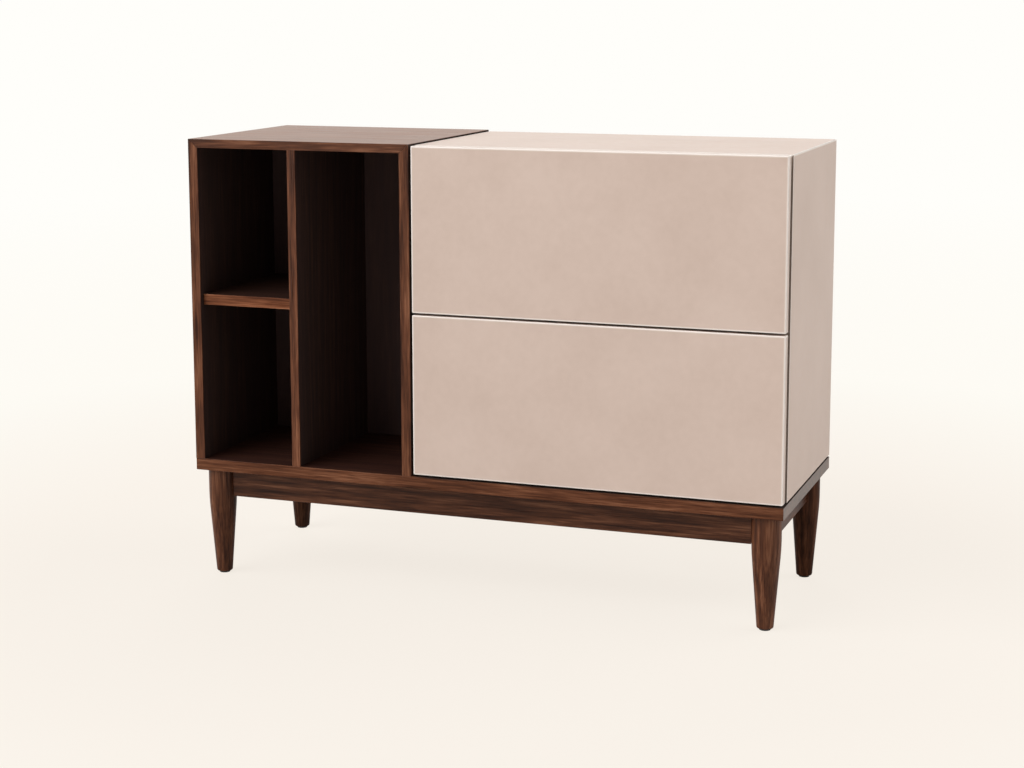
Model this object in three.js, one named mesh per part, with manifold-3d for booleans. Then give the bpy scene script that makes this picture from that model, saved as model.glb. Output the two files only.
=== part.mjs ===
// Office credenza: a walnut open unit and a lacquered two-drawer file case, side by side on a
// walnut base board with four turned legs. Millimetres, +Z up, the front faces -Y.
// The origin is on the floor under the middle of the credenza.
import * as THREE from "three";
import Module from "manifold-3d";
import { mergeVertices } from "three/addons/utils/BufferGeometryUtils.js";

// Overall size
const WIDTH = 1118;
const DEPTH = 406;
const HEIGHT = 825;

// Base: board, legs, aprons and glides
const BOARD_TOP = 226;
const BOARD_THICKNESS = 22;
const LEG_TOP_RADIUS = 26;
const LEG_FOOT_RADIUS = 15;
const LEG_STRAIGHT = 59;
const LEG_SHOULDER = 40;
const LEG_FOOT_ROUND = 4;
const LEG_END_INSET = 36;
const LEG_FRONT_INSET = 35;
const APRON_HEIGHT = 53;
const APRON_THICKNESS = 20;
const APRON_FACE_OFFSET = 7;
const GLIDE_RADIUS = 10;
const GLIDE_HEIGHT = 3;

// Walnut open unit
const UNIT_WIDTH = 437;
const UNIT_SIDE = 18;
const UNIT_TOP = 16;
const UNIT_BACK = 8;
const BACK_SEAT = 8;
const BAY_DEPTH = 305;
const DIVIDER = 16;
const LEFT_BAY_WIDTH = 182;
const SHELF_THICKNESS = 20;
const SHELF_TOP = 311;
const SHELF_RECESS = 10;
const PIN_RADIUS = 2.5;
const PIN_REACH = 9;
const PIN_DEPTH = 10;
const PIN_SETBACK = 45;

// Lacquered file case
const UNIT_GAP = 2.5;
const CASE_DROP = 3;
const CASE_PANEL = 18;
const CASE_BACK = 8;
const FOOT_GAP_DEPTH = 6;

// Drawers
const FRONT_THICKNESS = 18;
const FRONT_CASE_GAP = 7;
const FRONT_BOARD_GAP = 4;
const FRONT_REVEAL = 2;
const FRONT_GAP = 4;
const LOWER_FRONT_HEIGHT = 291;
const BOX_WALL = 12;
const BOX_BOTTOM = 6;
const BOX_BOTTOM_RISE = 4;
const BOTTOM_GROOVE = 5;
const RAIL_THICKNESS = 3;
const RAIL_HEIGHT = 15;
const RAIL_SETBACK = 5;

// Ball-bearing slides
const SLIDE_WIDTH = 13;
const SLIDE_HEIGHT = 45;
const SLIDE_SETBACK = 3;
const SLIDE_RISE = 70;
const SLIDE_SHEET = 1.25;
const SLIDE_REACH = 9.5;

// Push latches
const LATCH_WIDTH = 16;
const LATCH_LENGTH = 26;
const LATCH_BORE_RADIUS = 4;
const LATCH_END_WALL = 4;
const PLUNGER_LENGTH = 20;
const PLUNGER_STANDOUT = 5.6;

// Clearances between pieces that fit together
const JOINT_CLEARANCE = 0.3;
const SLIDE_CLEARANCE = 0.5;
const SHELF_CLEARANCE = 0.5;
const LATCH_CLEARANCE = 0.4;
const BOX_FLOOR_CLEARANCE = 3;
const BOX_CEILING_CLEARANCE = 8;

// Sides of the faceted round pieces
const LEG_SIDES = 36;
const SMALL_SIDES = 20;
const CURVE_STEPS = 6;

// Points closer than this are one point of a solid
const WELD_DISTANCE = 1e-4;

// Heights and places that follow from the sizes above
const LEG_TOP = BOARD_TOP - BOARD_THICKNESS;
const UNIT_HEIGHT = HEIGHT - BOARD_TOP;
const CASE_LEFT = UNIT_WIDTH + UNIT_GAP;
const CASE_WIDTH = WIDTH - CASE_LEFT;
const CASE_HEIGHT = UNIT_HEIGHT - CASE_DROP;
const CASE_FRONT = FRONT_THICKNESS + FRONT_CASE_GAP;
const BACK_FACE = DEPTH - CASE_BACK;
const BOX_LEFT = CASE_PANEL + SLIDE_WIDTH;
const BOX_RIGHT = CASE_WIDTH - BOX_LEFT;
const LATCH_MOUTH = BACK_FACE - LATCH_LENGTH;
const PLUNGER_TIP = LATCH_MOUTH - PLUNGER_STANDOUT;
const BOX_END = PLUNGER_TIP - LATCH_CLEARANCE;
const BOX_RISE = CASE_PANEL + BOX_FLOOR_CLEARANCE - FRONT_BOARD_GAP;
const BOX_TOP_DROP = CASE_PANEL + BOX_CEILING_CLEARANCE;
const SLIDE_START = CASE_FRONT + SLIDE_SETBACK;
const UPPER_FRONT_BASE = FRONT_BOARD_GAP + LOWER_FRONT_HEIGHT + FRONT_GAP;

const walnut = new THREE.MeshStandardMaterial({ color: 0x5c3a28, roughness: 0.5, metalness: 0 });
const lacquer = new THREE.MeshStandardMaterial({ color: 0xcfb8a8, roughness: 0.35, metalness: 0 });
const birch = new THREE.MeshStandardMaterial({ color: 0xc9a77c, roughness: 0.55, metalness: 0 });
const steel = new THREE.MeshStandardMaterial({ color: 0xa8abb0, roughness: 0.35, metalness: 1 });
const nylon = new THREE.MeshStandardMaterial({ color: 0x2a2521, roughness: 0.7, metalness: 0 });
const latchPlastic = new THREE.MeshStandardMaterial({ color: 0xd8d6d0, roughness: 0.5, metalness: 0 });

const wasm = await Module();
wasm.setup();

function named(name, geometry, material) {
  const mesh = new THREE.Mesh(geometry, material);
  mesh.name = name;
  return mesh;
}

// A box between two corners. Its vertices are the corners' own values, so neighbours meet exactly.
function boxBetween(low, high) {
  const geometry = new THREE.BoxGeometry(1, 1, 1);
  const points = geometry.attributes.position;
  for (let i = 0; i < points.count; i += 1) {
    const corner = [points.getX(i), points.getY(i), points.getZ(i)];
    points.setXYZ(i, ...corner.map((value, axis) => (value < 0 ? low[axis] : high[axis])));
  }
  return geometry;
}

// The room that a panel needs in a groove: its box with a clearance all round.
function grooveFor(low, high) {
  const lower = low.map((value) => value - JOINT_CLEARANCE);
  const upper = high.map((value) => value + JOINT_CLEARANCE);
  return boxBetween(lower, upper);
}

function panel(name, material, low, high) {
  return named(name, boxBetween(low, high), material);
}

// A section drawn in X and Z, carried along Y from one place to another.
function extrudeAlongY(section, start, end) {
  const geometry = new THREE.ExtrudeGeometry(section, { depth: end - start, bevelEnabled: false });
  geometry.rotateX(Math.PI / 2);
  geometry.translate(0, end, 0);
  return geometry;
}

function sectionOf(points) {
  return new THREE.Shape(points.map(([x, z]) => new THREE.Vector2(x, z)));
}

// A round bar along Z, standing on z = 0.
function uprightBar(radius, length, sides) {
  const geometry = new THREE.CylinderGeometry(radius, radius, length, sides);
  geometry.rotateX(Math.PI / 2);
  geometry.translate(0, 0, length / 2);
  return geometry;
}

// A geometry as a closed solid for cutting.
function solidOf(geometry) {
  const bare = new THREE.BufferGeometry();
  const whole = geometry.index ? geometry.toNonIndexed() : geometry;
  bare.setAttribute("position", whole.getAttribute("position"));
  const merged = mergeVertices(bare, WELD_DISTANCE);
  const triVerts = new Uint32Array(merged.index.array);
  const vertProperties = new Float32Array(merged.attributes.position.array);
  return new wasm.Manifold(new wasm.Mesh({ numProp: 3, vertProperties, triVerts }));
}

// A geometry with other geometries cut out of it.
function cutGeometry(geometry, cutters) {
  let solid = solidOf(geometry);
  for (const cutter of cutters) {
    solid = solid.subtract(solidOf(cutter));
  }
  const mesh = solid.getMesh();
  const result = new THREE.BufferGeometry();
  const points = new THREE.BufferAttribute(new Float32Array(mesh.vertProperties), 3);
  result.setAttribute("position", points);
  result.setIndex(new THREE.BufferAttribute(new Uint32Array(mesh.triVerts), 1));
  result.computeVertexNormals();
  return result;
}

// A turned leg: a rounded foot, a straight taper, a straight top and a soft shoulder between the two.
function legProfile(bottom) {
  const half = LEG_SHOULDER / 2;
  const foot = new THREE.Vector2(LEG_FOOT_RADIUS, bottom + LEG_FOOT_ROUND);
  const shoulder = new THREE.Vector2(LEG_TOP_RADIUS, LEG_TOP - LEG_STRAIGHT);
  const taperTop = shoulder.clone().lerp(foot, half / (shoulder.y - foot.y));
  const outline = new THREE.Path();
  outline.moveTo(0, bottom);
  outline.lineTo(LEG_FOOT_RADIUS - LEG_FOOT_ROUND, bottom);
  outline.quadraticCurveTo(LEG_FOOT_RADIUS, bottom, foot.x, foot.y);
  outline.lineTo(taperTop.x, taperTop.y);
  outline.quadraticCurveTo(shoulder.x, shoulder.y, shoulder.x, shoulder.y + half);
  outline.lineTo(LEG_TOP_RADIUS, LEG_TOP);
  outline.lineTo(0, LEG_TOP);
  return outline.getPoints(CURVE_STEPS);
}

// The four places of a leg's axis, with the words that name them.
function legPlaces() {
  const columns = [["left", LEG_END_INSET], ["right", WIDTH - LEG_END_INSET]];
  const rows = [["front", LEG_FRONT_INSET], ["rear", DEPTH - LEG_FRONT_INSET]];
  return rows.flatMap(([row, y]) => columns.map(([column, x]) => ({ name: `${row}_${column}`, x, y })));
}

// An apron between two leg axes, with its ends scribed to the round legs.
function apron(name, low, high, places) {
  const base = LEG_TOP - APRON_HEIGHT;
  const board = panel(name, walnut, [...low, base], [...high, LEG_TOP]);
  const cutters = places.map(({ x, y }) => {
    const bar = uprightBar(LEG_TOP_RADIUS + JOINT_CLEARANCE, HEIGHT, LEG_SIDES);
    return bar.translate(x, y, 0);
  });
  board.geometry = cutGeometry(board.geometry, cutters);
  return board;
}

function buildAprons(places) {
  const [frontLeft, frontRight, rearLeft, rearRight] = places;
  const inner = APRON_THICKNESS - APRON_FACE_OFFSET;
  const outer = APRON_FACE_OFFSET;
  return [
    apron("front_apron", [frontLeft.x, frontLeft.y - outer], [frontRight.x, frontRight.y + inner], places),
    apron("rear_apron", [rearLeft.x, rearLeft.y - inner], [rearRight.x, rearRight.y + outer], places),
    apron("left_apron", [frontLeft.x - outer, frontLeft.y], [rearLeft.x + inner, rearLeft.y], places),
    apron("right_apron", [frontRight.x - inner, frontRight.y], [rearRight.x + outer, rearRight.y], places),
  ];
}

function buildBase() {
  const base = new THREE.Group();
  const places = legPlaces();
  base.add(panel("base_board", walnut, [0, 0, LEG_TOP], [WIDTH, DEPTH, BOARD_TOP]));
  base.add(...buildAprons(places));
  for (const { name, x, y } of places) {
    const turned = new THREE.LatheGeometry(legProfile(GLIDE_HEIGHT), LEG_SIDES).rotateX(Math.PI / 2);
    const leg = named(`${name}_leg`, turned, walnut);
    const glide = named(`${name}_glide`, uprightBar(GLIDE_RADIUS, GLIDE_HEIGHT, SMALL_SIDES), nylon);
    leg.position.set(x, y, 0);
    glide.position.set(x, y, 0);
    base.add(leg, glide);
  }
  return base;
}

// The top and two sides of a box whose upper corners are mitred, standing on z = 0.
function mitredShell(prefix, material, { width, height, side, top, start }) {
  const ceiling = height - top;
  const inner = width - side;
  const outerTop = height - JOINT_CLEARANCE;
  const innerTop = ceiling - JOINT_CLEARANCE;
  const topSection = sectionOf([[0, height], [width, height], [inner, ceiling], [side, ceiling]]);
  const leftSection = sectionOf([[0, 0], [side, 0], [side, innerTop], [0, outerTop]]);
  const rightSection = sectionOf([[inner, 0], [width, 0], [width, outerTop], [inner, innerTop]]);
  return [
    named(`${prefix}_top`, extrudeAlongY(topSection, start, DEPTH), material),
    named(`${prefix}_left_side`, extrudeAlongY(leftSection, start, DEPTH), material),
    named(`${prefix}_right_side`, extrudeAlongY(rightSection, start, DEPTH), material),
  ];
}

// A shelf pin's bar or its hole, along X from one place to another.
function pinBar(radius, from, to, y, z) {
  const bar = uprightBar(radius, to - from, SMALL_SIDES);
  bar.rotateY(Math.PI / 2);
  return bar.translate(from, y, z);
}

// Seats for a back panel's edges in the side panels that hold it. At the rear they are rebates,
// further in they are grooves.
function cutBackSeats(sides, backLow, backHigh) {
  for (const side of sides) {
    side.geometry = cutGeometry(side.geometry, [grooveFor(backLow, backHigh)]);
  }
}

// The open unit: a mitred shell, a divider, a back and one shelf on four pins.
function buildOpenUnit() {
  const unit = new THREE.Group();
  const dividerLeft = UNIT_SIDE + LEFT_BAY_WIDTH;
  const dividerRight = dividerLeft + DIVIDER;
  const ceiling = UNIT_HEIGHT - UNIT_TOP;
  const shelfBase = SHELF_TOP - SHELF_THICKNESS;
  const pinHeight = shelfBase - PIN_RADIUS;
  const pinRows = [["front", SHELF_RECESS + PIN_SETBACK], ["rear", BAY_DEPTH - PIN_SETBACK]];
  const pinColumns = [
    ["left", UNIT_SIDE - PIN_DEPTH, UNIT_SIDE + PIN_REACH],
    ["right", dividerLeft - PIN_REACH, dividerLeft + PIN_DEPTH],
  ];
  const shell = { width: UNIT_WIDTH, height: UNIT_HEIGHT, side: UNIT_SIDE, top: UNIT_TOP, start: 0 };
  const [top, leftSide, rightSide] = mitredShell("unit", walnut, shell);
  const divider = panel("unit_divider", walnut, [dividerLeft, 0, 0], [dividerRight, BAY_DEPTH, ceiling]);
  const backLow = [UNIT_SIDE - BACK_SEAT, BAY_DEPTH, 0];
  const backHigh = [UNIT_WIDTH - UNIT_SIDE + BACK_SEAT, BAY_DEPTH + UNIT_BACK, ceiling];
  cutBackSeats([leftSide, rightSide], backLow, backHigh);
  const holders = { left: leftSide, right: divider };
  for (const [column, from, to] of pinColumns) {
    const holeRadius = PIN_RADIUS + JOINT_CLEARANCE;
    const holeStart = from - JOINT_CLEARANCE;
    const holeEnd = to + JOINT_CLEARANCE;
    const holes = pinRows.map(([, y]) => pinBar(holeRadius, holeStart, holeEnd, y, pinHeight));
    holders[column].geometry = cutGeometry(holders[column].geometry, holes);
    for (const [row, y] of pinRows) {
      unit.add(named(`shelf_pin_${row}_${column}`, pinBar(PIN_RADIUS, from, to, y, pinHeight), steel));
    }
  }
  const shelfLow = [UNIT_SIDE + SHELF_CLEARANCE, SHELF_RECESS, shelfBase];
  const shelfHigh = [dividerLeft - SHELF_CLEARANCE, BAY_DEPTH - SHELF_CLEARANCE, SHELF_TOP];
  unit.add(top, leftSide, rightSide, divider);
  unit.add(panel("unit_back", walnut, backLow, backHigh));
  unit.add(panel("cubby_shelf", walnut, shelfLow, shelfHigh));
  return unit;
}

// A shadow gap along the foot of each case side's outer face, as high as the gap under the fronts.
function cutFootGaps(leftSide, rightSide) {
  const beyond = JOINT_CLEARANCE;
  const gaps = [
    [leftSide, -beyond, FOOT_GAP_DEPTH],
    [rightSide, CASE_WIDTH - FOOT_GAP_DEPTH, CASE_WIDTH + beyond],
  ];
  for (const [side, from, to] of gaps) {
    const gap = boxBetween([from, CASE_FRONT - beyond, -beyond], [to, DEPTH + beyond, FRONT_BOARD_GAP]);
    side.geometry = cutGeometry(side.geometry, [gap]);
  }
}

// The file case without its drawers.
function buildCase() {
  const fileCase = new THREE.Group();
  const inner = CASE_WIDTH - CASE_PANEL;
  const ceiling = CASE_HEIGHT - CASE_PANEL;
  const shell = {
    width: CASE_WIDTH,
    height: CASE_HEIGHT,
    side: CASE_PANEL,
    top: CASE_PANEL,
    start: CASE_FRONT,
  };
  const [top, leftSide, rightSide] = mitredShell("case", lacquer, shell);
  const backLow = [CASE_PANEL - BACK_SEAT, BACK_FACE, 0];
  const backHigh = [inner + BACK_SEAT, DEPTH, ceiling];
  cutBackSeats([leftSide, rightSide], backLow, backHigh);
  cutFootGaps(leftSide, rightSide);
  fileCase.add(top, leftSide, rightSide);
  fileCase.add(panel("case_bottom", lacquer, [CASE_PANEL, CASE_FRONT, 0], [inner, BACK_FACE, CASE_PANEL]));
  fileCase.add(panel("case_back", lacquer, backLow, backHigh));
  return fileCase;
}

// A channel section: a web at one X with two flanges that reach towards another X.
function channelSection(webX, tipX, halfHeight, middle) {
  const webInner = webX + Math.sign(tipX - webX) * SLIDE_SHEET;
  const flange = halfHeight - SLIDE_SHEET;
  return sectionOf([
    [webX, middle - halfHeight],
    [tipX, middle - halfHeight],
    [tipX, middle - flange],
    [webInner, middle - flange],
    [webInner, middle + flange],
    [tipX, middle + flange],
    [tipX, middle + halfHeight],
    [webX, middle + halfHeight],
  ]);
}

// A three-part slide between a case side and a drawer side. The members nest in one another.
function buildSlide(prefix, caseX, drawerX, middle) {
  const inwards = Math.sign(drawerX - caseX);
  const step = SLIDE_SHEET + SLIDE_CLEARANCE;
  const half = SLIDE_HEIGHT / 2;
  const members = {
    outer: channelSection(caseX, caseX + inwards * SLIDE_REACH, half, middle),
    middle: channelSection(caseX + inwards * step, caseX + inwards * SLIDE_REACH, half - step, middle),
    inner: channelSection(drawerX, caseX + inwards * 2 * step, half - 2 * step, middle),
  };
  return Object.entries(members).map(([member, section]) => {
    return named(`${prefix}_slide_${member}`, extrudeAlongY(section, SLIDE_START, BOX_END), steel);
  });
}

// A push latch on the case back: a bored body and the plunger that the drawer's back pushes.
function buildLatch(prefix, middle) {
  const centre = CASE_WIDTH / 2;
  const half = LATCH_WIDTH / 2;
  const boreDepth = LATCH_LENGTH - LATCH_END_WALL;
  const body = panel(
    `${prefix}_latch_body`,
    latchPlastic,
    [centre - half, LATCH_MOUTH, middle - half],
    [centre + half, BACK_FACE, middle + half],
  );
  const lying = (bar, y) => bar.rotateX(-Math.PI / 2).translate(centre, y, middle);
  const bore = lying(uprightBar(LATCH_BORE_RADIUS, 2 * boreDepth, SMALL_SIDES), LATCH_MOUTH - boreDepth);
  body.geometry = cutGeometry(body.geometry, [bore]);
  const shaft = uprightBar(LATCH_BORE_RADIUS - JOINT_CLEARANCE, PLUNGER_LENGTH, SMALL_SIDES);
  const plunger = named(`${prefix}_latch_plunger`, lying(shaft, PLUNGER_TIP), latchPlastic);
  return [body, plunger];
}

// A drawer: its lacquered front, its box, two folder rails, its slides and its push latch.
function buildDrawer(prefix, frontBase, frontTop) {
  const drawer = new THREE.Group();
  const base = frontBase + BOX_RISE;
  const top = frontTop - BOX_TOP_DROP;
  const bottomBase = base + BOX_BOTTOM_RISE;
  const innerLeft = BOX_LEFT + BOX_WALL;
  const innerRight = BOX_RIGHT - BOX_WALL;
  const innerFront = FRONT_THICKNESS + BOX_WALL;
  const innerBack = BOX_END - BOX_WALL;
  const bottomLow = [innerLeft - BOTTOM_GROOVE, innerFront - BOTTOM_GROOVE, bottomBase];
  const bottomHigh = [innerRight + BOTTOM_GROOVE, innerBack + BOTTOM_GROOVE, bottomBase + BOX_BOTTOM];
  const add = (name, material, low, high) => drawer.add(panel(`${prefix}_${name}`, material, low, high));
  const addWall = (name, low, high) => {
    const wall = panel(`${prefix}_drawer_${name}`, birch, low, high);
    wall.geometry = cutGeometry(wall.geometry, [grooveFor(bottomLow, bottomHigh)]);
    drawer.add(wall);
  };
  const frontLow = [FRONT_REVEAL, 0, frontBase];
  const frontHigh = [CASE_WIDTH - FRONT_REVEAL, FRONT_THICKNESS, frontTop];
  add("drawer_front", lacquer, frontLow, frontHigh);
  addWall("subfront", [innerLeft, FRONT_THICKNESS, base], [innerRight, innerFront, top]);
  addWall("left_side", [BOX_LEFT, FRONT_THICKNESS, base], [innerLeft, BOX_END, top]);
  addWall("right_side", [innerRight, FRONT_THICKNESS, base], [BOX_RIGHT, BOX_END, top]);
  addWall("back", [innerLeft, innerBack, base], [innerRight, BOX_END, top]);
  add("drawer_bottom", birch, bottomLow, bottomHigh);
  const rails = [["front", innerFront + RAIL_SETBACK], ["rear", innerBack - RAIL_SETBACK - RAIL_THICKNESS]];
  for (const [row, y] of rails) {
    const low = [innerLeft, y, top - RAIL_HEIGHT];
    add(`file_rail_${row}`, steel, low, [innerRight, y + RAIL_THICKNESS, top]);
  }
  drawer.add(...buildSlide(`${prefix}_left`, CASE_PANEL, BOX_LEFT, base + SLIDE_RISE));
  drawer.add(...buildSlide(`${prefix}_right`, CASE_WIDTH - CASE_PANEL, BOX_RIGHT, base + SLIDE_RISE));
  drawer.add(...buildLatch(prefix, (base + top) / 2));
  return drawer;
}

const lacquerHalf = new THREE.Group();
lacquerHalf.position.set(CASE_LEFT, 0, 0);
lacquerHalf.add(buildCase());
lacquerHalf.add(buildDrawer("lower", FRONT_BOARD_GAP, FRONT_BOARD_GAP + LOWER_FRONT_HEIGHT));
lacquerHalf.add(buildDrawer("upper", UPPER_FRONT_BASE, CASE_HEIGHT));

const upperWorks = new THREE.Group();
upperWorks.position.set(0, 0, BOARD_TOP);
upperWorks.add(buildOpenUnit(), lacquerHalf);

const credenza = new THREE.Group();
const placed = new THREE.Group();
placed.position.set(-WIDTH / 2, -DEPTH / 2, 0);
placed.add(buildBase(), upperWorks);
credenza.add(placed);

export default credenza;
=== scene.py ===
"""Looks of the office credenza: its finishes, eased edges, fixings, studio and camera."""
import math

import bmesh
import bpy
from mathutils import Matrix, Vector


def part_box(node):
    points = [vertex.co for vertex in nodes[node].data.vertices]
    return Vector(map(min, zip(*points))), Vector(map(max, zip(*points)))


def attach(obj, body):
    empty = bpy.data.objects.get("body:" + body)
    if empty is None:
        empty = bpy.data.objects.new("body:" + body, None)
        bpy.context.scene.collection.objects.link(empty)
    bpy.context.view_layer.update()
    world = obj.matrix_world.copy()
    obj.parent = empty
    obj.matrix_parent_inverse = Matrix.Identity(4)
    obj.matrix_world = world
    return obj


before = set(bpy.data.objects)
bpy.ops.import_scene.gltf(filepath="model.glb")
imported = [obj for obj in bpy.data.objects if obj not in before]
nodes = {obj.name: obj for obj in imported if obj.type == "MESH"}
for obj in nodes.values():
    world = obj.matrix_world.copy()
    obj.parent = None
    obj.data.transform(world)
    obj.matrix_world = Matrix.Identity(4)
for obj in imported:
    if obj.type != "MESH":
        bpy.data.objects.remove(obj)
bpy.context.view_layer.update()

MM = 0.001
ALONG_X, ALONG_Y, ALONG_Z = 0, 1, 2
RIGHT, LEFT = Vector((1, 0, 0)), Vector((-1, 0, 0))
REARWARD, FORWARD = Vector((0, 1, 0)), Vector((0, -1, 0))
DOWNWARD = Vector((0, 0, -1))

# Linear colours of the finishes, each with its position in a noise pattern
WALNUT_STOPS = (
    (0.36, (0.030, 0.0096, 0.0045)),
    (0.46, (0.073, 0.0240, 0.0106)),
    (0.54, (0.118, 0.0412, 0.0186)),
    (0.64, (0.215, 0.0875, 0.0440)),
)
PORE_STOPS = ((0.33, (0.55, 0.50, 0.48)), (0.46, (1.0, 1.0, 1.0)))
LACQUER_STOPS = ((0.36, (0.585, 0.452, 0.382)), (0.64, (0.630, 0.494, 0.422)))
BIRCH_STOPS = ((0.30, (0.46, 0.30, 0.165)), (0.58, (0.64, 0.47, 0.30)))
ZINC_STOPS = ((0.35, (0.42, 0.43, 0.45)), (0.65, (0.60, 0.61, 0.63)))
NYLON_STOPS = ((0.35, (0.018, 0.015, 0.013)), (0.65, (0.032, 0.027, 0.023)))
PLASTIC_STOPS = ((0.35, (0.60, 0.59, 0.55)), (0.65, (0.71, 0.70, 0.66)))

# The range in which most of a noise pattern lies
NOISE_LOW, NOISE_HIGH = 0.3, 0.7

# Walnut: how closely its growth bands lie, and where the base board lies in its log
GROWTH_RINGS = 95.0
BOARD_START = (3.1, 0.7, 0.4)

# Painted sheen: a lighter colour on the upper face of the open unit's top, and how far up a face looks
# where the painted sheen starts and ends
TOP_SHEEN_WALNUT = (0.26, 0.115, 0.058)
TOP_SHEEN_SHARE = 0.48
SHEEN_START, SHEEN_END = 0.6, 0.9

# Painted highlight: lacquer made lighter along its edges, and how far in from them it reaches
LACQUER_EDGE_HIGHLIGHT = (0.97, 0.91, 0.86)
EDGE_HIGHLIGHT_REACH = 3.6 * MM

# Plywood: its dark layers, how much they show, and a trim that keeps its last face in its last layer
PLY_LINE = (0.30, 0.175, 0.085)
PLY_SHADE = 0.65
LAYER_TRIM = 0.01
WALL_LAYERS, FLOOR_LAYERS = 9, 5

# Painted shade: matt dark colours on the faces inside the open bays, in the gaps, and on the case's front
# edges behind the gaps. Painted reflection: a grey on the base board's right end
BAY_PAINTED_SHADE = (0.035, 0.021, 0.019)
SHELF_PAINTED_SHADE = (0.016, 0.006, 0.004)
FLOOR_PAINTED_SHADE = (0.011, 0.0012, 0.0006)
BACK_PAINTED_SHADE = (0.095, 0.061, 0.057)
GAP_PAINTED_SHADE = (0.019, 0.0155, 0.0135)
CASE_EDGE_PAINTED_SHADE = (0.30, 0.23, 0.19)
END_PAINTED_REFLECTION = (0.368, 0.343, 0.322)
PAINTED_SHADE_SHARE = 0.85
SHELF_PAINTED_SHADE_SHARE = 0.95
END_REFLECTION_SHARE = 0.6
PAINTED_PATCH_ROUGHNESS = 0.95
PAINTED_BOX_MARGIN = 0.3 * MM
PAINTED_BOX_FADE = 0.1 * MM
PAINTED_SHADE_SETBACK = 1.5 * MM

# Radii of the eased edges
LACQUER_EDGE = 1.6 * MM
MITRE_EDGE = 0.4 * MM
WALNUT_EDGE = 0.9 * MM
BIRCH_EDGE = 0.6 * MM
STEEL_EDGE = 0.25 * MM
PLASTIC_EDGE = 0.5 * MM
SHARP_ANGLE = math.radians(38)
WELD_DISTANCE = 0.01 * MM
FLAT_ANGLE = math.radians(0.5)
FACE_WEIGHT = 100

# Screw heads. The dome's profile is in shares of the head's radius and height.
SCREW_RADIUS = 3.6 * MM
SMALL_SCREW_RADIUS = 3.0 * MM
SCREW_SIDES = 24
SCREW_SINK = 0.2 * MM
HEAD_HEIGHT_SHARE = 0.5
DOME_PROFILE = ((1.0, 0.2), (0.9, 0.6), (0.68, 1.0))
SOCKET_WIDTH_SHARE = 0.85
SOCKET_FLOOR_SHARE = 0.25

# Places of the screws
BACK_SCREW_INSET = 5 * MM
BACK_SCREW_END = 30 * MM
BACK_SCREW_PITCH = 145 * MM
BOARD_SCREW_FRONT = 90 * MM
BOARD_SCREW_END = 120 * MM
BOARD_SCREW_PITCH = 290 * MM
BOX_SCREW_RISES = (22 * MM, 125 * MM, 205 * MM)
FACE_SCREW_INSET = 60 * MM
FACE_SCREW_PITCH = 235 * MM
FACE_SCREW_RISE = 55 * MM

# Corner blocks and their hanger bolts
BLOCK_NEAR = 42 * MM
BLOCK_FAR = 68 * MM
BLOCK_RISE = 6 * MM
BOLT_RADIUS = 4 * MM
BOLT_REACH = 36 * MM
BOLT_SHOULDER = 11 * MM
BOLT_END = 12 * MM
BOLT_END_RADIUS = 3.2 * MM
WASHER_RADIUS = 8.8 * MM
WASHER_TOP = 1.2 * MM
NUT_WIDTH = 12.8 * MM
NUT_TOP = 7 * MM

# Drawer hardware
SLIDE_SHEET = 1.25 * MM
SLIDE_SCREW_INSET = 30 * MM
SLIDE_SCREW_PITCH = 130 * MM
LEVER_LENGTH = 58 * MM
LEVER_HEIGHT = 11 * MM
LEVER_THICKNESS = 3 * MM
LEVER_SETBACK = 16 * MM
LEVER_CORNER = 4.95 * MM
CLIP_WALL = 2.4 * MM
CLIP_CLEARANCE = 0.15 * MM
CLIP_DROP = 3 * MM
CLIP_LENGTH = 14 * MM
EAR_THICKNESS = 2 * MM
EAR_LENGTH = 14 * MM
EAR_CORNER = 3 * MM
CORNER_STEPS = 5


# Node helpers


def feed(tree, socket, value):
    """Feed an input from another node's output, or set its own value."""
    if isinstance(value, bpy.types.NodeSocket):
        tree.links.new(value, socket)
    else:
        socket.default_value = value


def add_node(tree, kind, inputs=None, **settings):
    node = tree.nodes.new(kind)
    for name, value in settings.items():
        setattr(node, name, value)
    for name, value in (inputs or {}).items():
        feed(tree, node.inputs[name], value)
    return node


def stretched_noise(tree, place, axis, across, along, detail, distortion=0.0):
    """Noise drawn out along one axis. Across and along count features per metre."""
    scale = [across] * 3
    scale[axis] = along
    stretched = add_node(tree, "ShaderNodeMapping", {"Vector": place, "Scale": scale})
    settings = {
        "Vector": stretched.outputs["Vector"],
        "Scale": 1.0,
        "Detail": detail,
        "Distortion": distortion,
    }
    return add_node(tree, "ShaderNodeTexNoise", settings).outputs[0]


def even_noise(tree, place, per_metre, detail):
    return stretched_noise(tree, place, ALONG_X, per_metre, per_metre, detail)


def ramp(tree, factor, stops):
    """A colour that runs through stops of (position, colour)."""
    node = add_node(tree, "ShaderNodeValToRGB", {"Fac": factor})
    elements = node.color_ramp.elements
    elements.remove(elements[1])
    first_position, first_colour = stops[0]
    elements[0].position = first_position
    elements[0].color = (*first_colour, 1.0)
    for position, colour in stops[1:]:
        elements.new(position).color = (*colour, 1.0)
    return node.outputs["Color"]


def calculate(tree, operation, first, second):
    return add_node(tree, "ShaderNodeMath", {0: first, 1: second}, operation=operation).outputs[0]


def vector_math(tree, operation, first, second):
    return add_node(tree, "ShaderNodeVectorMath", {0: first, 1: second}, operation=operation).outputs[0]


def weighted_sum(tree, parts):
    """The sum of several outputs, each with its weight."""
    total = None
    for socket, weight in parts:
        share = calculate(tree, "MULTIPLY", socket, weight)
        total = share if total is None else calculate(tree, "ADD", total, share)
    return total


def remap(tree, value, from_low, from_high, to_low, to_high):
    settings = {
        "Value": value,
        "From Min": from_low,
        "From Max": from_high,
        "To Min": to_low,
        "To Max": to_high,
    }
    return add_node(tree, "ShaderNodeMapRange", settings).outputs["Result"]


def vary(tree, pattern, middle, swing):
    """A number that follows a noise pattern, by a swing to both sides of its middle."""
    return remap(tree, pattern, NOISE_LOW, NOISE_HIGH, middle - swing, middle + swing)


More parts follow.
